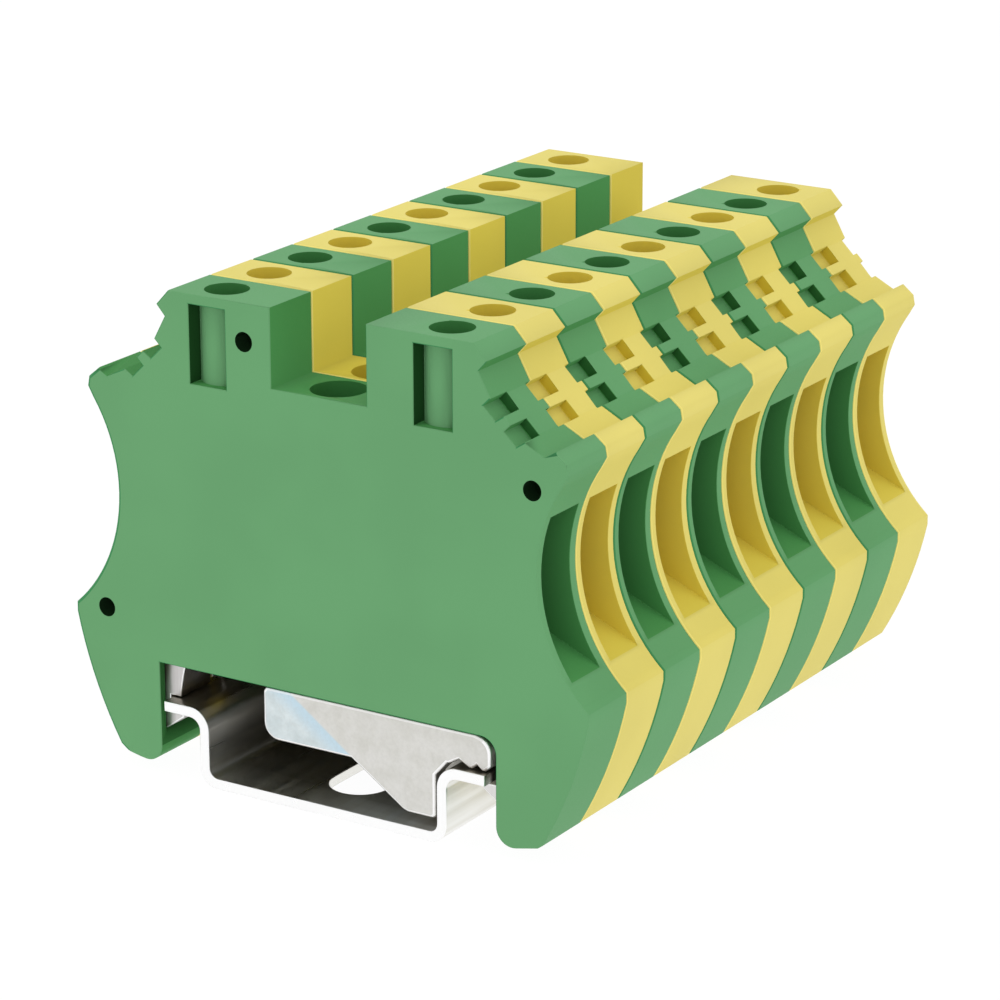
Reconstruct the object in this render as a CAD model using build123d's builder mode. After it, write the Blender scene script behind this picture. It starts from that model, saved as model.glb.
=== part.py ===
"""Earth terminal block: ten screw clamp slices, green and yellow in turn, on a short top hat rail.

Each slice is a moulded tray. Its front is closed, its back is open, and the flat front of the
next slice closes it. Inside lie a copper current bar, two clamp cages with their screws, and a
steel foot that grips the rail and earths the bar.

Sizes are in millimetres. X runs across the rail, Y along it and Z up. The origin is on the
underside of the rail, on its centre line, in the plane of the first slice's front face.
"""
from build123d import *
import os
from math import cos, radians, sin, tan

os.makedirs("parts", exist_ok=True)

# The stack
slice_count = 10
pitch = 6.5

# The rail, a top hat section folded from steel strip
rail_width = 35.0
rail_height = 7.5
rail_sheet = 1.0
rail_channel = 27.0
flange_bend = 1.1
floor_bend = 0.9
rail_overhang = 0.6
slot_width = 5.8
slot_length = 15.0
slot_pitch = 25.0
slot_start = 2.9
slot_rows = 2

# The moulded housing, its right half seen from the front. Each spot of the shoulder is given by its
# distance from the middle and its drop below the top
body_top = 46.75
tower_half = 16.2
pit_half = 5.1
pit_drop = 7.45
collar = (17.55, 1.45)
neck = (16.65, 2.45)
card_top = (17.95, 4.8)
card_low = (21.2, 8.0)
step_foot = (23.35, 9.1)
brow_top = (24.4, 8.45)
brow_tip = (26.05, 9.8)
brow_low = (25.1, 11.45)
brow_cut = 0.65
waist_half = 22.55
waist_height = 27.0
hip_half = 27.85
hip_top = 15.15
hip_low = 14.2
leg_bulge = (26.05, 8.0)
leg_heel = (23.0, 1.62)
heel_cut = 0.35
leg_base = 0.6
leg_inside = 18.35
leg_round = 1.7
arch_top = 10.95
arch_round = 1.6

# Walls and hollows of the housing
face_wall = 0.85
back_wall = 1.0
screw_half = 12.0
screw_bore = 4.2
foot_bore = 5.3
guide_wall = 0.4
recess_width = 4.0
recess_start = 0.95
recess_end = 8.35
cage_travel = 2.4
chamber_floor = 18.0
chamber_inner = 8.0
chamber_outer = 16.2
head_room = 1.1
keel_top = 16.7
keel_half = 20.6
sole_height = 3.8
brow_wall = 3.2
ramp_edge = (25.7, 17.45)
ramp_angle = 23.5

# Marker pockets in the shoulders: each has a sloping floor and two slanting walls. The upper end of
# each floor is given like the shoulder's spots
pocket_floors = [(17.15, 5.47), (19.25, 7.45)]
pocket_size = 1.7
pocket_fall = 44.0
upper_rise = 45.0
lower_rise = 33.0
pocket_reach = 1.8
pocket_front = 2.6
pocket_back = 0.85

# Locating pins between slices: two high ones, placed like the shoulder, and one over the left leg
high_pins = [(-7.95, 3.55), (22.13, 12.24)]
low_pin = (-24.2, 15.3)
pin_width = 1.75
pin_reach = 1.5

# Round details that repeat in every slice have few flat sides, which keeps the long row light
bore_sides = 16
pin_sides = 10
screw_sides = 8

# Clearances between neighbours: play where they fit, ease where they only pass
play = 0.1
ease = 0.3

# Current bar, clamp cages and screws
bar_height = 26.0
bar_sheet = 1.2
bar_wide_half = 7.6
bar_end = 15.9
cage_wall = 0.7
cage_cap = 2.0
cage_base = 1.5
cage_low = 19.7
cage_high = 32.6
cage_inner = 8.3
clamp_shank = 3.0
clamp_head = 4.0
clamp_head_drop = 8.55
clamp_head_tall = 2.6
clamp_slot = 0.8
foot_shank = 3.5
foot_head = 4.6
foot_head_tall = 3.2
foot_slot = 1.0
slot_depth = 1.3

# The foot that hooks round the flanges of the rail
crown_half = 5.0
crown_low = 21.0
fork_half = 2.6
keel_low = 11.0
hook_tip = 16.45
hook_nose = 5.6
hook_low = 4.2
hook_inside = 18.4
lip_low_half = 16.65
lip_mid = (16.45, 9.1)
lip_top_half = 16.0
notch_end = 17.85

# The toothed jaw that the foot screw presses on the rail
jaw_face = 0.05
jaw_sheet = 1.95
jaw_left = 6.7
jaw_low = 5.93
jaw_corner = 1.6
jaw_left_cut = 0.35
ramp_start = 2.9
toe_start = 8.7
toe_low = 2.0
toe_end = 11.95
toe_top = 6.2
toe_cut = 0.3
heel_end = 13.2
jaw_right = 17.78
teeth = [(14.45, 1.05, 0.57), (16.32, 0.5, 0.43)]
last_tooth = 17.15
last_rise = 0.55
crest_half = 4.5
shoe_half = 2.3
shoe_low = 11.6
shoe_sheet = 1.8

# Places that follow from the sizes above
stack_length = slice_count * pitch
mid = pitch / 2
metal_front = face_wall + play
metal_back = pitch - metal_front
metal_deep = metal_back - metal_front
web_middle = (rail_channel - rail_sheet) / 2
flange_tip = rail_width / 2
flange_low = rail_height - rail_sheet
bar_top = bar_height + bar_sheet
pit_floor = body_top - pit_drop
hub_top = bar_top + foot_head_tall + head_room
chamber_top = cage_high + cage_travel
funnel_top = body_top - brow_low[1] - brow_wall
clamp_head_low = body_top - clamp_head_drop
cage_outer = 2 * screw_half - cage_inner
foot_half = keel_half - play
foot_top = keel_top - play
jaw_back = jaw_face + jaw_sheet
foot_front = jaw_back + play
jaw_top = arch_top - play
jaw_seat = rail_height + play
shoe_top = shoe_low + shoe_sheet


def on_y(y):
    """The drawing plane that faces the front, at distance y along the rail."""
    return Plane.XZ.offset(-y)


def corners(sketch, spots):
    """The corners of a sketch that lie nearest to the given spots."""
    return [sketch.vertices().sort_by_distance(Vertex(x, z, 0))[0] for x, z in spots]


def both(x, z):
    """The same spot on the right and on the left."""
    return [(x, z), (-x, z)]


def down(spot):
    """A spot of the shoulder, given by its distance from the middle and its drop below the top."""
    return (spot[0], body_top - spot[1])


def barrel(width, sides, mode=Mode.ADD):
    """A round detail with few sides, whose corners lie on the circle of that width."""
    return RegularPolygon(width / 2, sides, rotation=180 / sides, mode=mode)


def onward(spot, length, angle):
    """The spot at that distance from another one, in the direction of the angle."""
    return (spot[0] + length * cos(radians(angle)), spot[1] + length * sin(radians(angle)))


def pocket(floor):
    """The outline of one marker pocket, from the upper end of its floor."""
    high = down(floor)
    low = onward(high, pocket_size, -pocket_fall)
    return [high, low, onward(low, pocket_reach, lower_rise), onward(high, pocket_reach, upper_rise)]


# Rail: one folded strip with long holes in its floor
with BuildPart() as rail:
    with BuildSketch(on_y(-rail_overhang)) as rail_section:
        with BuildLine() as rail_line:
            flange_mid = rail_height - rail_sheet / 2
            floor_mid = rail_sheet / 2
            FilletPolyline(
                (-flange_tip, flange_mid),
                (-web_middle, flange_mid),
                (-web_middle, floor_mid),
                (web_middle, floor_mid),
                (web_middle, flange_mid),
                (flange_tip, flange_mid),
                radius=[
                    flange_bend + rail_sheet / 2,
                    floor_bend + rail_sheet / 2,
                    floor_bend + rail_sheet / 2,
                    flange_bend + rail_sheet / 2,
                ],
            )
        trace(line_width=rail_sheet)
    extrude(amount=-(stack_length + 2 * rail_overhang))
    with BuildSketch(Plane.XY) as rail_slots:
        for row in range(slot_rows):
            with Locations((0, slot_start + slot_length / 2 + row * slot_pitch)):
                SlotOverall(slot_length, slot_width, rotation=90)
    extrude(amount=rail_sheet, mode=Mode.SUBTRACT)
rail.part.label = "rail"
export_step(rail.part, "parts/rail.step")

# Housing of one slice: a moulded tray, closed in front and open at the back
with BuildPart() as housing:
    with BuildSketch(on_y(0)) as body_face:
        with BuildLine():
            Polyline((0, pit_floor), (pit_half, pit_floor), (pit_half, body_top), (tower_half, body_top))
            shoulder = [collar, neck, card_top, card_low, step_foot, brow_top, brow_tip, brow_low]
            Polyline((tower_half, body_top), *[down(spot) for spot in shoulder])
            ThreePointArc(down(brow_low), (waist_half, waist_height), (hip_half, hip_top))
            Line((hip_half, hip_top), (hip_half, hip_low))
            ThreePointArc((hip_half, hip_low), leg_bulge, leg_heel)
            Polyline(leg_heel, (leg_inside, leg_base), (leg_inside, arch_top), (0, arch_top))
            mirror(about=Plane.YZ)
        make_face()
        fillet(corners(body_face, both(leg_inside, leg_base)), radius=leg_round)
        fillet(corners(body_face, [(leg_inside, arch_top)]), radius=arch_round)
        chamfer(corners(body_face, both(*down(brow_tip))), length=brow_cut)
        chamfer(corners(body_face, both(*leg_heel)), length=heel_cut)
    extrude(amount=-pitch)

    # Chambers for the cages, the bar and the foot, open to the back
    with BuildSketch(on_y(face_wall)) as chambers:
        with Locations((0, sole_height)):
            Rectangle(2 * keel_half, keel_top - sole_height, align=(Align.CENTER, Align.MIN))
        with Locations((0, keel_top)):
            Rectangle(2 * (crown_half + ease), hub_top - keel_top, align=(Align.CENTER, Align.MIN))
        with Locations((0, bar_height + bar_sheet / 2)):
            Rectangle(2 * chamber_outer, bar_sheet + 2 * ease)
        with Locations(*both((chamber_inner + chamber_outer) / 2, chamber_floor)):
            Rectangle(
                chamber_outer - chamber_inner,
                chamber_top - chamber_floor,
                align=(Align.CENTER, Align.MIN),
            )
    extrude(amount=face_wall - pitch, mode=Mode.SUBTRACT)

    # Wire funnels, walled on both sides
    with BuildSketch(on_y(face_wall)) as funnels:
        with BuildLine():
            ramp_end = ramp_edge[1] + (ramp_edge[0] - chamber_outer) * tan(radians(ramp_angle))
            ramp_start_z = ramp_edge[1] - (hip_half - ramp_edge[0]) * tan(radians(ramp_angle))
            Polyline(
                (chamber_outer, ramp_end),
                (hip_half, ramp_start_z),
                (hip_half, funnel_top),
                (chamber_outer, funnel_top),
                close=True,
            )
        make_face()
        mirror(about=Plane.YZ)
    extrude(amount=face_wall + back_wall - pitch, mode=Mode.SUBTRACT)

    # Screw guides in the towers and the foot screw's hole in the pit floor
    with BuildSketch(Plane.XY.offset(body_top)) as guides:
        with Locations(*both(screw_half, mid)):
            barrel(screw_bore, bore_sides)
    extrude(amount=chamber_top - body_top, mode=Mode.SUBTRACT)
    with BuildSketch(Plane.XY.offset(pit_floor)) as pit_hole:
        with Locations((0, mid)):
            barrel(foot_bore, bore_sides)
    extrude(amount=hub_top - pit_floor, mode=Mode.SUBTRACT)

    # Recesses in the front that leave the round wall of each screw guide standing
    with BuildSketch(Plane.XY.offset(body_top - recess_end)) as recesses:
        with Locations(*both(screw_half, 0)):
            Rectangle(recess_width, mid, align=(Align.CENTER, Align.MIN))
        with Locations(*both(screw_half, mid)):
            barrel(screw_bore + 2 * guide_wall, bore_sides, Mode.SUBTRACT)
    extrude(amount=recess_end - recess_start, mode=Mode.SUBTRACT)

    # Marker pockets, open to the front, and the short notches behind their rib
    for start, depth in [(0, pocket_front), (pitch - pocket_back, pocket_back)]:
        with BuildSketch(on_y(start)) as pockets:
            for floor in pocket_floors:
                with BuildLine():
                    Polyline(*pocket(floor), close=True)
                make_face()
            mirror(about=Plane.YZ)
        extrude(amount=-depth, mode=Mode.SUBTRACT)

    # Locating holes in the front and their pins at the back
    pin_spots = [*[down(spot) for spot in high_pins], low_pin]
    with BuildSketch(on_y(0)) as pin_holes:
        with Locations(*pin_spots):
            barrel(pin_width + 2 * play, pin_sides)
    extrude(amount=-(pin_reach + ease), mode=Mode.SUBTRACT)
    with BuildSketch(on_y(pitch)) as pins:
        with Locations(*pin_spots):
            barrel(pin_width, pin_sides)
    extrude(amount=-pin_reach)

# Current bar: a copper strip with a hole for the foot screw and a narrow tongue at each end
with BuildPart() as bar:
    with BuildSketch(Plane.XY.offset(bar_height)) as bar_shape:
        with Locations((0, mid)):
            Rectangle(2 * bar_wide_half, metal_deep)
            Rectangle(2 * bar_end, metal_deep - 2 * cage_wall - 2 * play)
            barrel(foot_shank + 2 * play, screw_sides, Mode.SUBTRACT)
    extrude(amount=bar_sheet)

# Clamp cages: one square steel box round each tongue, with a tapped hole in its thick top
with BuildPart() as cages:
    with BuildSketch(on_y(metal_front)) as cage_block:
        with Locations(*both(screw_half, cage_low)):
            Rectangle(cage_outer - cage_inner, cage_high - cage_low, align=(Align.CENTER, Align.MIN))
    extrude(amount=-metal_deep)
    with BuildSketch(Plane.YZ.offset(-cage_outer)) as cage_window:
        with Locations((mid, cage_low + cage_base)):
            Rectangle(
                metal_deep - 2 * cage_wall,
                cage_high - cage_low - cage_cap - cage_base,
                align=(Align.CENTER, Align.MIN),
            )
    extrude(amount=2 * cage_outer, mode=Mode.SUBTRACT)
    with BuildSketch(Plane.XY.offset(cage_high)) as cage_holes:
        with Locations(*both(screw_half, mid)):
            barrel(clamp_shank + play, screw_sides)
    extrude(amount=-cage_cap, mode=Mode.SUBTRACT)

# Clamp screw: it stands on the bar's tongue and lifts the cage
with BuildPart() as clamp_screw:
    with BuildSketch(Plane.XY.offset(bar_top)) as clamp_shank_shape:
        with Locations((0, mid)):
            barrel(clamp_shank, screw_sides)
    extrude(amount=clamp_head_low - bar_top)
    with BuildSketch(Plane.XY.offset(clamp_head_low)) as clamp_head_shape:
        with Locations((0, mid)):
            barrel(clamp_head, screw_sides)
    extrude(amount=clamp_head_tall)
    with BuildSketch(Plane.XY.offset(clamp_head_low + clamp_head_tall)) as clamp_slot_shape:
        with Locations((0, mid)):
            Rectangle(clamp_head, clamp_slot)
    extrude(amount=-slot_depth, mode=Mode.SUBTRACT)

# Foot screw: its head holds the bar on the foot and its tip presses the jaw
with BuildPart() as foot_screw:
    with BuildSketch(Plane.XY.offset(shoe_top)) as foot_shank_shape:
        with Locations((0, mid)):
            barrel(foot_shank, screw_sides)
    extrude(amount=bar_top - shoe_top)
    with BuildSketch(Plane.XY.offset(bar_top)) as foot_head_shape:
        with Locations((0, mid)):
            barrel(foot_head, screw_sides)
    extrude(amount=foot_head_tall)
    with BuildSketch(Plane.XY.offset(bar_top + foot_head_tall)) as foot_slot_shape:
        with Locations((0, mid)):
            Rectangle(foot_head, foot_slot)
    extrude(amount=-slot_depth, mode=Mode.SUBTRACT)

# Foot: a steel fork under the bar whose hooks reach round both flanges of the rail
with BuildPart() as foot:
    with BuildSketch(on_y(foot_front)) as foot_beam:
        with Locations((0, keel_low)):
            Rectangle(2 * foot_half, foot_top - keel_low, align=(Align.CENTER, Align.MIN))
            Rectangle(2 * crown_half, bar_height - keel_low, align=(Align.CENTER, Align.MIN))
            Rectangle(
                2 * fork_half,
                crown_low - keel_low,
                align=(Align.CENTER, Align.MIN),
                mode=Mode.SUBTRACT,
            )
    extrude(amount=foot_front - metal_back)
    with BuildSketch(on_y(metal_front)) as foot_hooks:
        with BuildLine():
            Polyline(
                (lip_top_half, keel_low),
                (lip_top_half, foot_top),
                (foot_half, foot_top),
                (foot_half, hook_low),
                (hook_inside, hook_low),
                (hook_tip, hook_nose),
                (hook_tip, flange_low - ease),
                (notch_end, flange_low - ease),
                (notch_end, rail_height + play),
                (lip_low_half, rail_height + play),
            )
            ThreePointArc((lip_low_half, rail_height + play), lip_mid, (lip_top_half, keel_low))
        make_face()
        mirror(about=Plane.YZ)
        with Locations((0, crown_low)):
            Rectangle(2 * crown_half, bar_height - crown_low, align=(Align.CENTER, Align.MIN))
    extrude(amount=-metal_deep)
    with BuildSketch(on_y(metal_front)) as jaw_clearance:
        with BuildLine():
            Polyline(
                (lip_top_half - ease, jaw_seat - ease),
                (jaw_right + ease, jaw_seat - ease),
                (jaw_right + ease, foot_top),
                (lip_top_half - ease, foot_top),
                close=True,
            )
        make_face()
    extrude(amount=metal_front - foot_front, mode=Mode.SUBTRACT)
    with BuildSketch(Plane.XY.offset(bar_height)) as tapped_hole:
        with Locations((0, mid)):
            barrel(foot_shank + play, screw_sides)
    extrude(amount=crown_low - bar_height, mode=Mode.SUBTRACT)

# Jaw: a toothed steel plate over the rail, with a crest and a shoe that the foot screw presses
with BuildPart() as jaw:
    with BuildSketch(on_y(jaw_face)) as jaw_plate:
        with BuildLine():
            edge = [(-jaw_left, jaw_top), (-jaw_left, jaw_low), (ramp_start, jaw_low)]
            edge += [(toe_start, toe_low), (toe_end, toe_low), (toe_end, toe_top), (heel_end, jaw_seat)]
            for middle, half, rise in teeth:
                edge += [(middle - half, jaw_seat), (middle, jaw_seat + rise), (middle + half, jaw_seat)]
            edge += [(last_tooth, jaw_seat), (jaw_right, jaw_seat + last_rise), (jaw_right, jaw_top)]
            Polyline(*edge, close=True)
        make_face()
        fillet(corners(jaw_plate, [(-jaw_left, jaw_low)]), radius=jaw_corner)
        fillet(corners(jaw_plate, [(jaw_right, jaw_top)]), radius=jaw_corner)
        chamfer(corners(jaw_plate, [(-jaw_left, jaw_top)]), length=jaw_left_cut)
        chamfer(corners(jaw_plate, [(toe_start, toe_low), (toe_end, toe_low)]), length=toe_cut)
    extrude(amount=-jaw_sheet)
    with BuildSketch(on_y(jaw_back)) as crest:
        with Locations((0, shoe_low)):
            Rectangle(2 * crest_half, shoe_sheet, align=(Align.CENTER, Align.MIN))
        with Locations((0, jaw_top - jaw_sheet)):
            Rectangle(2 * crest_half, shoe_low - jaw_top + jaw_sheet, align=(Align.CENTER, Align.MIN))
    extrude(amount=jaw_back - metal_front)
    with BuildSketch(on_y(jaw_back)) as shoe:
        with Locations((0, shoe_low)):
            Rectangle(2 * shoe_half, shoe_sheet, align=(Align.CENTER, Align.MIN))
    extrude(amount=jaw_back - metal_back)

# Every slice has its own housing, bar, cages, foot and jaw
for number in range(slice_count):
    kinds = [
        ("housing", housing),
        ("current_bar", bar),
        ("clamp_cages", cages),
        ("foot_plate", foot),
        ("foot_jaw", jaw),
    ]
    for name, kind in kinds:
        with BuildPart() as piece:
            with Locations((0, number * pitch, 0)):
                add(kind.part)
        piece.part.label = f"{name}_{number + 1:02d}"
        export_step(piece.part, f"parts/{piece.part.label}.step")

# The screws of the whole stack
with BuildPart() as clamp_screws:
    for number in range(slice_count):
        with Locations(*[(x, number * pitch, 0) for x in (-screw_half, screw_half)]):
            add(clamp_screw.part)
clamp_screws.part.label = "clamp_screws"
export_step(clamp_screws.part, "parts/clamp_screws.step")

with BuildPart() as foot_screws:
    for number in range(slice_count):
        with Locations((0, number * pitch, 0)):
            add(foot_screw.part)
foot_screws.part.label = "foot_screws"
export_step(foot_screws.part, "parts/foot_screws.step")
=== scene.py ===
# %% [markdown]
# # An earth terminal block on its rail
#
# The object is a row of ten thin clamp slices, moulded in green and yellow plastic in turn, and
# snapped onto a short piece of folded steel rail. The solid model already holds every form at its
# true size. Here it gets what makes it look real: slightly rounded moulded edges, satin plastic,
# zinc plated and galvanised steel, soft studio light and the view of the photograph.
#
# Everything is in metres, in the same frame as the solid model: X runs across the rail, Y along it
# and Z up. The front face of the first slice lies in the plane Y = 0.

import math

import bmesh
import bpy
from mathutils import Matrix, Vector
from mathutils.bvhtree import BVHTree


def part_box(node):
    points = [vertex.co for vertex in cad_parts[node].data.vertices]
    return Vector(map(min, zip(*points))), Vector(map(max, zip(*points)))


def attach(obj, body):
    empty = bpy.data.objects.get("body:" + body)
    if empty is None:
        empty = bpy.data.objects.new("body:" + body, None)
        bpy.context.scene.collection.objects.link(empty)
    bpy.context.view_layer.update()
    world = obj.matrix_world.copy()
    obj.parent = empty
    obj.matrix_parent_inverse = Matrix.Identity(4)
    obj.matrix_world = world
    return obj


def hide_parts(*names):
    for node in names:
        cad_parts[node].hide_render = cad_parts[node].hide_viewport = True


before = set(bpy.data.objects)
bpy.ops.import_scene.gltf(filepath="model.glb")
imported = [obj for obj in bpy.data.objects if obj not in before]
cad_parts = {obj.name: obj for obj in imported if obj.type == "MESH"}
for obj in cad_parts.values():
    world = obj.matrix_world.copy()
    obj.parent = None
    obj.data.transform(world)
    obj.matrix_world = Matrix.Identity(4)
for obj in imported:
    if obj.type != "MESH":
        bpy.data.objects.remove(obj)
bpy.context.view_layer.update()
mm = 0.001
print("nodes:", len(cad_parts))

# %% [markdown]
# ## The camera
#
# The camera's place was worked out from the photograph itself. The pitch of the slices, the holes
# in the two rows of towers and the known section of the rail fix where the camera stood, how it
# was turned and how long its lens was. It is a long lens, so parallel edges stay nearly parallel.

# %% Camera
camera_data = bpy.data.cameras.new("camera")
camera_data.sensor_width = 36.0
camera_data.lens = 147.88
camera_data.shift_x = -0.00337
camera_data.shift_y = -0.00052
camera = bpy.data.objects.new("camera", camera_data)
bpy.context.scene.collection.objects.link(camera)
camera.location = (0.19846, -0.28332, 0.14260)
aside = Matrix.Rotation(math.radians(32.319), 3, "Z")
down = Matrix.Rotation(math.radians(90 - 18.066), 3, "X")
roll = Matrix.Rotation(math.radians(-0.1175), 3, "Z")
camera.rotation_euler = (aside @ down @ roll).to_euler()
camera_data.clip_start, camera_data.clip_end = 0.01, 20.0
bpy.context.scene.camera = camera
print("camera at", tuple(camera.location))

# %% [markdown]
# ## Light and floor
#
# The photograph is a catalogue picture: light comes from everywhere, there are no cast shadows,
# and only the deep holes are dark. A white sky does much of that: a surface that sees the whole
# of it looks just as its colour is set, and one that sees less of it is darker; the rest is shade
# painted into the colours further down. One large soft lamp above makes the tops a little lighter
# than the sides. The floor glows as brightly as the sky, as a lit table does in a photographer's
# studio, so it lights the undersides too.

# %% Sky, lamp and floor
bpy.context.scene.view_settings.view_transform = "Standard"
sky = bpy.data.worlds.new("sky")
sky.use_nodes = True
sky.node_tree.nodes["Background"].inputs["Color"].default_value = (1.0, 1.0, 1.0, 1.0)
sky.node_tree.nodes["Background"].inputs["Strength"].default_value = 1.0
bpy.context.scene.world = sky


def softbox(name, place, aim, size, power):
    """A square lamp that hangs at a place and faces a point."""
    lamp_data = bpy.data.lights.new(name, "AREA")
    lamp_data.size = size
    lamp_data.energy = power
    lamp = bpy.data.objects.new(name, lamp_data)
    bpy.context.scene.collection.objects.link(lamp)
    lamp.location = place
    lamp.rotation_euler = (Vector(aim) - Vector(place)).to_track_quat("-Z", "Y").to_euler()
    return lamp


softbox("top_light", (0.0, 0.03, 0.60), (0.0, 0.03, 0.02), 0.50, 0.30)

floor_mesh = bpy.data.meshes.new("floor")
shape = bmesh.new()
bmesh.ops.create_grid(shape, x_segments=1, y_segments=1, size=6.0)
bmesh.ops.translate(shape, vec=(0, 0, -0.02 * mm), verts=shape.verts)
shape.to_mesh(floor_mesh)
shape.free()
floor = bpy.data.objects.new("floor", floor_mesh)
bpy.context.scene.collection.objects.link(floor)
print("floor and", len(bpy.data.lights), "lamps")

# %% [markdown]
# ## A small language for materials
#
# A material is a net of nodes. Written out node by node it is hard to read, so one small class
# wraps a node's output and lets the usual signs add the Math nodes: `height * 0.3 + speckle`
# reads as it works. Colours go through Mix nodes, because a Math node would turn them grey.

# %% Sockets that calculate
class Value:
    """One output in a material's node tree, with arithmetic."""

    def __init__(self, tree, out):
        self.tree, self.out = tree, out

    def maths(self, operation, *others):
        """A Math node that works on this value and others."""
        values = [self, *others]
        return add_node(self.tree, "ShaderNodeMath", {"operation": operation}, **{
            f"n{i}": value for i, value in enumerate(values)
        })

    def __add__(self, other):
        return self.maths("ADD", other)

    __radd__ = __add__

    def __mul__(self, other):
        return self.maths("MULTIPLY", other)

    __rmul__ = __mul__

    def __sub__(self, other):
        return self.maths("SUBTRACT", other)

    def __rsub__(self, other):
        return (self * -1.0) + other

    def ramp(self, low, high, to_low=0.0, to_high=1.0):
        """Maps the stretch from low to high smoothly onto the one from to_low to to_high."""
        return add_node(
            self.tree, "ShaderNodeMapRange", {"interpolation_type": "SMOOTHSTEP"},
            Value=self, From_Min=low, From_Max=high, To_Min=to_low, To_Max=to_high,
        )

    def mix(self, first, second):
        """A colour between two colours, by this value."""
        return add_node(
            self.tree, "ShaderNodeMix", {"data_type": "RGBA"},
            Factor=self, n6=first, n7=second, output=2,
        )


def add_node(tree, kind, settings=None, output=0, **inputs):
    """Adds one node, its settings first, and gives its output.

    Inputs are named, or numbered as n0, n1 and so on.
    """
    made = tree.nodes.new(kind)
    for name, value in (settings or {}).items():
        setattr(made, name, value)
    for name, value in inputs.items():
        if name[0] == "n" and name[1:].isdigit():
            socket = made.inputs[int(name[1:])]
        else:
            socket = made.inputs[name.replace("_", " ")]
        if isinstance(value, Value):
            tree.links.new(value.out, socket)
        else:
            socket.default_value = value
    return Value(tree, made.outputs[output])


def new_material(name):
    """A material with its shader, and the place on the object as a value."""
    material = bpy.data.materials.new(name)
    material.use_nodes = True
    tree = material.node_tree
    shader = tree.nodes["Principled BSDF"]
    place = add_node(tree, "ShaderNodeTexCoord", output=3)
    return material, tree, shader, place


def colour(red, green, blue):
    """A colour given as it looks on the screen, from 0 to 255, as the shader wants it."""
    return tuple(((c / 255) / 12.92 if c < 10.3 else ((c / 255 + 0.055) / 1.055) ** 2.4)
                 for c in (red, green, blue)) + (1.0,)


print("a mid green is", [round(c, 3) for c in colour(98, 163, 106)[:3]])

# %% [markdown]
# ## Moulded plastic
#
# The slices are polyamide, moulded in a spark-eroded tool: a matt surface with an extremely fine
# grain, and colour that drifts by a few percent where the melt flowed. Both colours share one
# recipe, which paints light and shade into the base colour in four tones: one for open faces, two
# deeper ones as painted shade in hollows, where light thrown to and fro comes out deeper in
# colour, and one for the rounded edges, a painted highlight on yellow and a painted darker edge
# shade on green. Two values stored on the faces say which tone a face takes: `open`, the share
# of the sky that it sees, and `rim`, which is 1 on a rounded edge. Below zero, `open` paints the
# shade further towards black, for narrow gaps where a real camera records almost nothing.

# %% Green and yellow plastic
black = (0.0, 0.0, 0.0, 1.0)
# Painted highlight for the rims and cut ends of the metals.
painted_rim_highlight = colour(252, 252, 252)


def noise(tree, place, scale, detail, roughness):
    """A noise pattern, from 0 to 1."""
    return add_node(
        tree, "ShaderNodeTexNoise", Vector=place, Scale=scale, Detail=detail, Roughness=roughness,
    )


def stored(tree, name):
    """A value that is stored on the faces of the mesh."""
    return add_node(tree, "ShaderNodeAttribute", {"attribute_name": name}, output=2)


def plastic(name, main, hollow_shade, deep_shade, edge, roughness):
    """Matt plastic with a drift of colour and a very fine grain; painted shade and a painted edge
    tone give it four tones.
    """
    material, tree, shader, place = new_material(name)
    flow = noise(tree, place, 70.0, 2.0, 0.5)
    grain = noise(tree, place, 5200.0, 2.0, 0.6)
    sky_seen = stored(tree, "open")
    # Painted shade: faces that see less sky take the hollow and deep tones, narrow gaps fade to
    # black, and rims take the painted edge tone.
    body = sky_seen.ramp(0.50, 1.0).mix(hollow_shade, main)
    body = sky_seen.ramp(0.02, 0.26).mix(deep_shade, body)
    body = sky_seen.ramp(-1.0, 0.0).mix(black, body)
    body = stored(tree, "rim").mix(body, edge)
    drift = (flow.ramp(0.3, 0.7) * 0.75 + grain * 0.25).ramp(0.0, 1.0, 0.0, 0.06)
    tree.links.new(drift.mix(body, black).out, shader.inputs["Base Color"])
    satin = grain.ramp(0.3, 0.7, roughness - 0.04, roughness + 0.05)
    tree.links.new(satin.out, shader.inputs["Roughness"])
    bump = add_node(tree, "ShaderNodeBump", Strength=0.12, Distance=0.02 * mm, Height=grain)
    tree.links.new(bump.out, shader.inputs["Normal"])
    shader.inputs["IOR"].default_value = 1.5
    shader.inputs["Specular IOR Level"].default_value = 0.04
    return material


# The hollow and deep tones are painted shade; the edge tone is a painted darker shade on green and
# a painted highlight on yellow.
green = plastic(
    "green_plastic", main=colour(106, 163, 112), hollow_shade=colour(76, 145, 80),
    deep_shade=colour(50, 108, 54), edge=colour(68, 140, 88), roughness=0.55,
)
yellow = plastic(
    "yellow_plastic", main=colour(228, 214, 120), hollow_shade=colour(224, 205, 82),
    deep_shade=colour(224, 199, 68), edge=colour(246, 228, 128), roughness=0.55,
)
print("plastics:", green.name, yellow.name)

# %% [markdown]
# ## Metals
#
# The rail is cold rolled strip with a thin zinc plate, so it carries fine lines along its length.
# The jaw is hot dip galvanised, with fine specks and a cloudy tone; the bluish area at its left
# end, with a soft straight border, is a painted reflection. The foot was drawn through a die,
# which leaves streaks from top to bottom. Rail and foot also take painted shade by the sky that
# they see, and all three take painted highlights on their rims.

# %% Metals with fine lines
# Painted shade for the rail and feet, tinted olive as a painted reflection of the yellow slices.
painted_olive_shade = colour(96, 80, 44)


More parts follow.
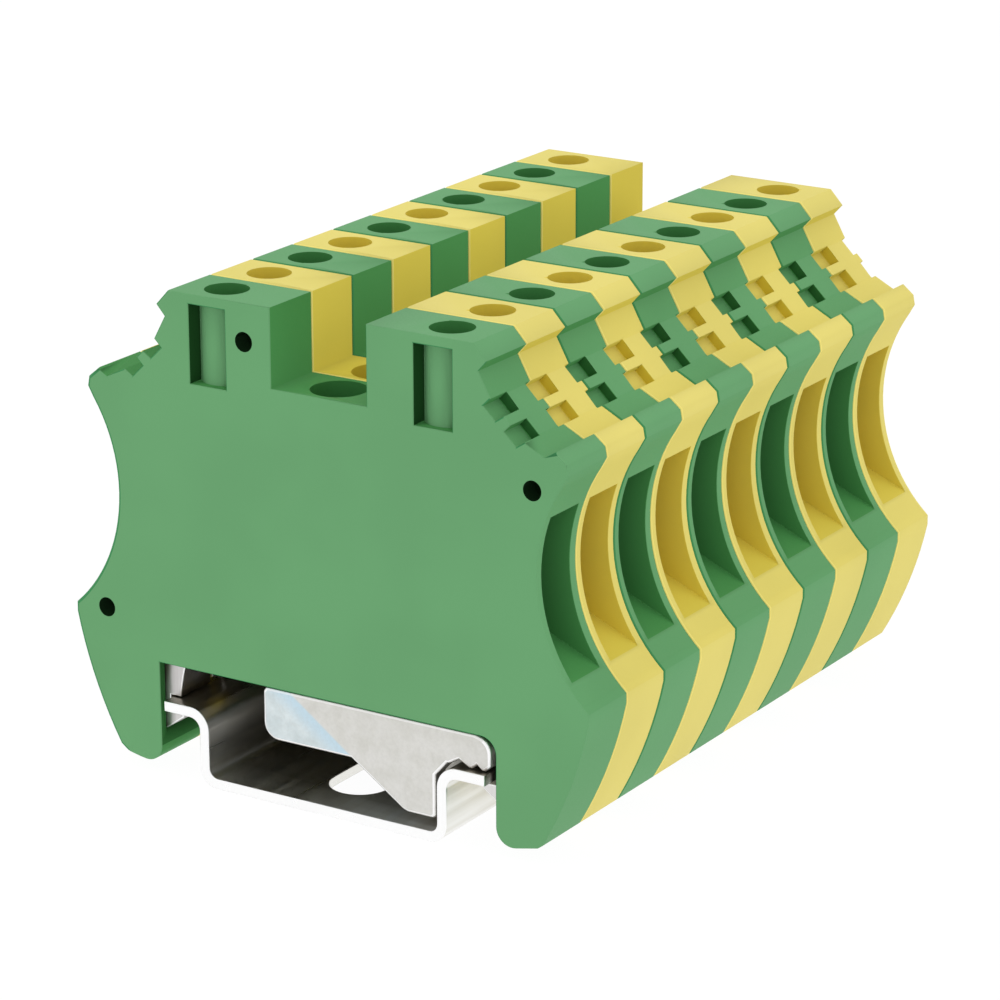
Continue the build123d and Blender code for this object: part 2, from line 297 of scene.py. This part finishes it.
def streaked_steel(name, light, dark, roughness, stretch, painted_shading=False):
    """Metal with fine lines along the axis on which the stretch is smallest.

    With painted shading, it also takes painted shade by the sky that its piece's faces see, and
    painted highlights on its rims and cut ends.
    """
    material, tree, shader, place = new_material(name)
    pulled = add_node(tree, "ShaderNodeMapping", Vector=place, Scale=stretch)
    lines = noise(tree, pulled, 900.0, 3.0, 0.6)
    cloud = noise(tree, place, 120.0, 2.0, 0.5)
    tone = lines.ramp(0.25, 0.75) * 0.6 + cloud.ramp(0.3, 0.7) * 0.4
    body = tone.mix(dark, light)
    if painted_shading:
        # Painted shade by the stored sky share, and a painted highlight on rims.
        body = stored(tree, "open").ramp(0.0, 0.40, 0.32, 1.0).mix(painted_olive_shade, body)
        body = stored(tree, "rim").mix(body, painted_rim_highlight)
    tree.links.new(body.out, shader.inputs["Base Color"])
    brushed = lines.ramp(0.3, 0.7, roughness + 0.08, roughness - 0.06)
    tree.links.new(brushed.out, shader.inputs["Roughness"])
    bump = add_node(tree, "ShaderNodeBump", Strength=0.15, Distance=0.01 * mm, Height=lines)
    tree.links.new(bump.out, shader.inputs["Normal"])
    shader.inputs["Metallic"].default_value = 1.0
    return material


rail_steel = streaked_steel(
    "rail_steel", colour(242, 242, 238), colour(224, 222, 212), 0.33, (1.0, 0.03, 1.0), True,
)
foot_steel = streaked_steel(
    "foot_steel", colour(226, 224, 222), colour(192, 188, 188), 0.36, (1.0, 1.0, 0.04), True,
)
cage_steel = streaked_steel(
    "cage_steel", colour(222, 221, 214), colour(198, 196, 186), 0.35, (0.05, 1.0, 1.0),
)
screw_steel = streaked_steel(
    "screw_steel", colour(224, 222, 212), colour(196, 193, 180), 0.3, (1.0, 1.0, 1.0),
)
copper = streaked_steel(
    "copper", colour(226, 160, 122), colour(204, 134, 98), 0.32, (0.04, 1.0, 1.0),
)
print("steels:", rail_steel.name, foot_steel.name)


# %% Galvanised jaw
def galvanised(name):
    """Zinc: specks everywhere, a painted bluish reflection at the left end and a painted highlight
    on the rims.
    """
    material, tree, shader, place = new_material(name)
    speck = noise(tree, place, 2600.0, 3.0, 0.65)
    cloud = noise(tree, place, 420.0, 3.0, 0.6)
    across = add_node(tree, "ShaderNodeSeparateXYZ", output=0, Vector=place)
    upward = add_node(tree, "ShaderNodeSeparateXYZ", output=2, Vector=place)
    # The painted reflection's border runs down to the right, from the jaw's top to its lower edge
    past_reflection_edge = (across + 3.9 * mm) * 0.58 + (upward - 11.0 * mm) * 0.81
    warm = cloud.ramp(0.3, 0.7).mix(colour(211, 210, 204), colour(221, 220, 216))
    # A painted reflection: bluish at the left end, bluest near its border.
    cold = cloud.ramp(0.3, 0.7).mix(colour(203, 214, 216), colour(222, 231, 233))
    near_reflection_edge = past_reflection_edge.ramp(-2.2 * mm, -0.2 * mm).mix(cold, colour(198, 220, 232))
    body = past_reflection_edge.ramp(-0.12 * mm, 0.12 * mm).mix(near_reflection_edge, warm)
    speckled = speck.ramp(0.35, 0.7, 0.0, 0.12).mix(body, colour(176, 174, 168))
    # Rims take a painted highlight.
    edged = stored(tree, "rim").mix(speckled, painted_rim_highlight)
    tree.links.new(edged.out, shader.inputs["Base Color"])
    tree.links.new((speck * 0.12 + 0.38).out, shader.inputs["Roughness"])
    bump = add_node(tree, "ShaderNodeBump", Strength=0.2, Distance=0.015 * mm, Height=speck)
    tree.links.new(bump.out, shader.inputs["Normal"])
    shader.inputs["Metallic"].default_value = 1.0
    return material


jaw_steel = galvanised("jaw_steel")
print("jaw:", jaw_steel.name)

# %% Glowing floor
floor_paint, floor_tree, floor_shader, floor_place = new_material("floor_paint")
floor_tone = add_node(floor_tree, "ShaderNodeTexNoise", Vector=floor_place, Scale=3.0, Detail=2.0)
floor_tree.links.new(
    floor_tone.mix(colour(60, 60, 60), colour(66, 66, 66)).out, floor_shader.inputs["Base Color"]
)
floor_shader.inputs["Roughness"].default_value = 0.9
floor_shader.inputs["Specular IOR Level"].default_value = 0.0
floor_shader.inputs["Emission Color"].default_value = (1.0, 1.0, 1.0, 1.0)
floor_shader.inputs["Emission Strength"].default_value = 0.97
floor_mesh.materials.append(floor_paint)
print("floor:", floor_paint.name)

# %% [markdown]
# ## How much sky a face sees
#
# From the middle of a face, rays go out over the half space in front of it, more of them straight
# ahead than to the sides, as light counts more from there. The share that meets nothing of the
# whole object is the openness of that face. It is stored on the faces of the slices, and on the
# corners of the rail and the feet, for the recipes above, which paint shade into the base colours
# with it.

# %% Rays over the half space in front of a place
whole = bmesh.new()
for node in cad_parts.values():
    whole.from_mesh(node.data)
obstacles = BVHTree.FromBMesh(whole)
whole.free()
ray_count = 64
golden_angle = math.pi * (3.0 - math.sqrt(5.0))


def openness(place, normal):
    """The share of rays from a place on a surface that meet nothing."""
    turned = normal.to_track_quat("Z", "Y")
    clear = 0
    for k in range(ray_count):
        share, swing = (k + 0.5) / ray_count, k * golden_angle
        aside = math.sqrt(share)
        ray = Vector((aside * math.cos(swing), aside * math.sin(swing), math.sqrt(1.0 - share)))
        clear += obstacles.ray_cast(place + normal * 0.03 * mm, turned @ ray)[0] is None
    return clear / ray_count


print("rays per place:", ray_count)

# %% [markdown]
# ## Rounded edges
#
# No moulded or cut edge is perfectly sharp, and the thin bright line that an edge throws back is
# what tells the eye how large a thing is. The solid model comes as loose triangles, so each piece
# is copied, its triangles are joined, flat areas become single faces again, and only then are the
# sharp edges bevelled: first the outline in the piece's front and back planes, which is rounder,
# then all other edges. Edges at the round holes stay as they are. Normals weighted by area keep
# the flats flat and let the bevel look round.

# %% A rounded copy of a node
flat_within = math.radians(1.2)
sharp_from = math.radians(32.0)
smooth_to = math.radians(50)


def joined(node):
    """The node's shape as a mesh whose triangles are joined to flat faces."""
    shape = bmesh.new()
    shape.from_mesh(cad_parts[node].data)
    bmesh.ops.remove_doubles(shape, verts=shape.verts, dist=0.001 * mm)
    bmesh.ops.dissolve_limit(
        shape, angle_limit=flat_within, verts=shape.verts, edges=shape.edges,
    )
    shape.faces.layers.float.new("rim")
    shape.faces.layers.int.new("hole")
    return shape


def soften(shape, edges, width, segments, clamped=True):
    """Bevels some edges of a mesh and gives the new faces."""
    made = bmesh.ops.bevel(
        shape, geom=edges, offset=width, offset_type="OFFSET", segments=segments, profile=0.5,
        affect="EDGES", clamp_overlap=clamped, material=-1,
    )
    return [face for face in made["faces"] if face.is_valid]


def in_plane(places, plane):
    """Whether all the places lie in a plane across Y."""
    return all(abs(place.y - plane) < 0.005 * mm for place in places)


def soften_all(shape, planes, rim_width, width, first=None):
    """Rounds every sharp edge, most of all those in the piece's front and back planes.

    `first`, when given, picks edges of the outline that are rounded before it, and wider.
    """
    hole = shape.faces.layers.int["hole"]
    keen = [
        edge for edge in shape.edges
        if len(edge.link_faces) == 2 and edge.calc_face_angle(0.0) > sharp_from
        and not any(face[hole] for face in edge.link_faces)
    ]
    outline = [
        edge for edge in keen if any(in_plane([v.co for v in edge.verts], y) for y in planes)
    ]
    inner = set(keen) - set(outline)
    # Faces of the rounded outline are marked as rims, which the finishes give a painted edge tone.
    rim = shape.faces.layers.float["rim"]
    if first:
        wide = [edge for edge in outline if first(edge)]
        for face in soften(shape, wide, 1.7 * rim_width, 3, clamped=False):
            face[rim] = 1.0
    for face in soften(shape, [edge for edge in outline if edge.is_valid], rim_width, 2):
        face[rim] = 1.0
    soften(shape, [edge for edge in inner if edge.is_valid], width, 2)


def finished(shape, name):
    """The mesh as an object with smooth shading."""
    for face in shape.faces:
        face.smooth = True
    mesh = bpy.data.meshes.new(name)
    shape.to_mesh(mesh)
    shape.free()
    mesh.set_sharp_from_angle(angle=smooth_to)
    piece = bpy.data.objects.new(name, mesh)
    bpy.context.scene.collection.objects.link(piece)
    weighted = piece.modifiers.new("weighted", "WEIGHTED_NORMAL")
    weighted.keep_sharp = True
    return piece


def dress(node, piece, material):
    """Gives a piece its finish, lets it stand for its node and ride with the rest."""
    piece.data.materials.clear()
    piece.data.materials.append(material)
    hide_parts(node)
    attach(piece, "root")


# %% [markdown]
# ## The slices
#
# All ten housings come from one mould. Three of them see different surroundings: the first has
# nothing before it, the last nothing behind it, and the second stands for all between, which are
# copies of it, moved along the rail by the pitch that the solid model gives. The solid's round
# holes have few sides, so the edges between their sides are bevelled away until they are round.

# %% Housings
slice_count = sum(name.startswith("housing_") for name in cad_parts)
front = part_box("housing_01")[0].y
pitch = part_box("housing_02")[0].y - front
pin_hole_deep = 1.8 * mm
pin_spots = [(-7.95 * mm, 43.2 * mm), (22.13 * mm, 34.51 * mm), (-24.2 * mm, 15.3 * mm)]
pin_reach = 1.1 * mm
near_front = 2.2 * mm
window_middle = 42.1 * mm
window_deep = 1.75 * mm
pocket_deep = 2.6 * mm
pocket_lean = 0.69
shoulder_low = 36.0 * mm
arch_half = 17.5 * mm
waist_half = 22.0 * mm
pin_mark, bore_mark = 1, 2
print("slices:", slice_count, "pitch:", round(pitch / mm, 2), "mm")


def along(edge, axis):
    """Whether an edge runs along an axis."""
    run = (edge.verts[1].co - edge.verts[0].co).normalized()
    return abs(run[axis]) > 0.999


def painted_shade_and_light(mark, normal, across, depth, height):
    """Painted shade and painted light for holes, front windows and marker pockets, given as stored
    values; None for other faces.
    """
    # Given values: black pin holes, dark side walls and bright tubes in the front windows, darker
    # bores, dark back walls and bright floors in the marker pockets.
    in_pin_hole = any(math.hypot(across - x, height - z) < pin_reach for x, z in pin_spots)
    if depth < near_front and in_pin_hole:
        return -0.8
    if abs(height - window_middle) < 0.5 * mm and depth < window_deep:
        if abs(normal.x) > 0.99:
            return -0.55
        return 1.0 if normal.y < -0.2 else None
    if mark:
        return {pin_mark: -0.8, bore_mark: 0.16}[mark]
    if height < shoulder_low:
        return None
    if normal.y < -0.99 and abs(depth - pocket_deep) < 0.1 * mm:
        return -0.2
    leans = abs(abs(normal.x) - pocket_lean) < 0.01 and normal.z > 0.71
    if leans and depth < pocket_deep:
        return 0.8
    return None


def housing(number):
    """One slice with round holes and soft edges, and the sky that each face sees, stored for
    painted shade.
    """
    shape = joined(f"housing_{number:02d}")
    start = front + (number - 1) * pitch
    hole = shape.faces.layers.int["hole"]
    hole_sides = [
        edge for edge in shape.edges
        if along(edge, 1) and abs(edge.calc_length() - pin_hole_deep) < 0.01 * mm
    ]
    bore_sides = [
        edge for edge in shape.edges
        if along(edge, 2) and len(edge.link_faces) == 2
        and 21.0 < math.degrees(edge.calc_face_angle(0.0)) < 24.0
    ]
    round_off = (
        (pin_mark, hole_sides, 0.25 * mm, 3),
        (bore_mark, bore_sides, 0.30 * mm, 2),
    )
    for mark, edges, width, segments in round_off:
        for edge in edges:
            for face in edge.link_faces:
                face[hole] = mark
    for mark, edges, width, segments in round_off:
        for face in soften(shape, edges, width, segments):
            face[hole] = mark
    planes = (start, start + pitch)

    def left_front(edge):
        """Whether an edge is in the front of the first slice and turned to the left."""
        ends = [v.co for v in edge.verts]
        turned = any(face.normal.x < -0.3 for face in edge.link_faces)
        outside = all(abs(end.x) >= waist_half for end in ends)
        return number == 1 and turned and outside and in_plane(ends, start)

    soften_all(shape, planes, 0.20 * mm, 0.10 * mm, first=left_front)
    rim = shape.faces.layers.float["rim"]
    open_share = shape.faces.layers.float.new("open")
    for face in shape.faces:
        corners = [v.co for v in face.verts]
        flat = abs(face.normal.y) > 0.99 and any(in_plane(corners, y) for y in planes)
        middle = face.calc_center_median_weighted()
        depth = middle.y - start
        known = painted_shade_and_light(face[hole], face.normal, middle.x, depth, middle.z)
        # Painted shade and light: outline faces and rims count as fully open, listed hollows take
        # given values, and other faces store the sky they see.
        if flat or face[rim]:
            face[open_share] = 1.0
        elif known is not None:
            face[open_share] = known
        else:
            face[open_share] = 0.95 * openness(middle, face.normal)
        # The first slice keeps its painted darker rim shade only along its left outline and its
        # arch
        in_arch = face.normal.z < -0.3 and abs(middle.x) < arch_half
        if number == 1 and depth < 0.3 * mm and face.normal.x > -0.15 and not in_arch:
            face[rim] = 0.0
    return finished(shape, f"soft_housing_{number:02d}")


def copy_to(master, kind, number, home):
    """The master itself for its own slice, else a copy of it moved along the rail."""
    if number == home:
        return master
    piece = master.copy()
    piece.data = master.data.copy()
    piece.name = piece.data.name = f"soft_{kind}_{number:02d}"
    piece.data.transform(Matrix.Translation((0, (number - home) * pitch, 0)))
    bpy.context.scene.collection.objects.link(piece)
    return piece


between = housing(2)
ends = {1: housing(1), slice_count: housing(slice_count)}
for number in range(1, slice_count + 1):
    piece = ends.get(number) or copy_to(between, "housing", number, 2)
    skin, slot_name = (green, "green_plastic") if number % 2 else (yellow, "yellow_plastic")
    dress(f"housing_{number:02d}", piece, skin)
print("housing faces:", len(between.data.polygons))

# %% [markdown]
# ## Jaws, feet and rail
#
# The stamped jaw fills its place up to the arch of the housing, so its top edge is drawn up to it.
# The rail is long and passes from daylight into the dark under the slices. It is cut across at
# many places, and each corner keeps the share of sky that it sees as painted shade, so the light
# fades along it.

# %% Jaws and feet
jaw_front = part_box("foot_jaw_01")[0].y
jaw_sheet = 1.95 * mm
jaw_top = 10.85 * mm
jaw_lift = 0.08 * mm
faint_rim = 0.45
jaw_shape = joined("foot_jaw_01")
for vert in jaw_shape.verts:
    if abs(vert.co.z - jaw_top) < 0.01 * mm:
        vert.co.z += jaw_lift
soften_all(jaw_shape, (jaw_front, jaw_front + jaw_sheet), 0.28 * mm, 0.12 * mm)
rim = jaw_shape.faces.layers.float["rim"]
# Along the arch the jaw's painted rim highlight is fainter.
for face in jaw_shape.faces:
    by_arch = face.normal.z > 0.3 and face.calc_center_median().z > jaw_top - 0.4 * mm
    if face[rim] and by_arch:
        face[rim] = faint_rim
jaw_master = finished(jaw_shape, "soft_foot_jaw_01")

foot_low, foot_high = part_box("foot_plate_01")
foot_shape = joined("foot_plate_01")
soften_all(foot_shape, (foot_low.y, foot_high.y), 0.15 * mm, 0.12 * mm)
# Painted shade: each corner of the foot stores the sky it sees.
shade = foot_shape.verts.layers.float.new("open")
foot_shape.normal_update()
for vert in foot_shape.verts:
    vert[shade] = openness(vert.co, vert.normal)
foot_master = finished(foot_shape, "soft_foot_plate_01")
for number in range(1, slice_count + 1):
    jaw = copy_to(jaw_master, "foot_jaw", number, 1)
    dress(f"foot_jaw_{number:02d}", jaw, jaw_steel)
    foot = copy_to(foot_master, "foot_plate", number, 1)
    dress(f"foot_plate_{number:02d}", foot, foot_steel)
print("jaw faces:", len(jaw_master.data.polygons))
print("foot faces:", len(foot_master.data.polygons))

# %% Rail
rail_low, rail_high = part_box("rail")
rail_shape = joined("rail")
soften_all(rail_shape, (rail_low.y, rail_high.y), 0.12 * mm, 0.10 * mm)


def cut_rail(place, normal):
    """Cuts the rail's faces along a plane, which adds corners there."""
    bmesh.ops.bisect_plane(
        rail_shape, geom=[*rail_shape.verts, *rail_shape.edges, *rail_shape.faces],
        dist=0.0001 * mm, plane_co=place, plane_no=normal,
    )


from_end = [0.3, 0.8, 1.4, 2.2, 3.2, 4.6, 6.5, 9.0, 13.0, 19.0, 26.0]
cuts = [rail_low.y + cut * mm for cut in from_end] + [rail_high.y - cut * mm for cut in from_end]
for cut in cuts:
    cut_rail((0, cut, 0), (0, 1, 0))
for side in (-16.5, -15.5, -14.5, 14.5, 15.5, 16.5):
    cut_rail((side * mm, 0, 0), (1, 0, 0))
# The rail's cut ends take the painted rim highlight.
rim = rail_shape.faces.layers.float["rim"]
for face in rail_shape.faces:
    if abs(face.normal.y) > 0.99:
        face[rim] = 1.0
# Painted shade: each corner stores the sky it sees; the flanges' upper faces, under the jaws'
# teeth, keep only a tenth of it.
shade = rail_shape.verts.layers.float.new("open")
flange_shade = 0.1
rail_shape.normal_update()
for vert in rail_shape.verts:
    on_flange = vert.co.z > rail_high.z - 0.3 * mm and vert.normal.z > 0.5
    vert[shade] = (flange_shade if on_flange else 1.0) * openness(vert.co, vert.normal)
rail = finished(rail_shape, "soft_rail")
dress("rail", rail, rail_steel)
print("rail faces:", len(rail.data.polygons))

# %% [markdown]
# ## Inner pieces
#
# The copper bars, clamp cages and screws sit inside, seen only through the wire funnels and from
# behind. Their solids are right as they are and only take a finish.

# %% Finishes of the inner pieces
inside = {
    "current_bar": copper, "clamp_cages": cage_steel,
    "clamp_screws": screw_steel, "foot_screws": screw_steel,
}
for name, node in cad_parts.items():
    for kind, material in inside.items():
        if name.startswith(kind):
            node.data.materials.clear()
            node.data.materials.append(material)
print("inner pieces:", sum(name.startswith(tuple(inside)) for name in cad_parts))
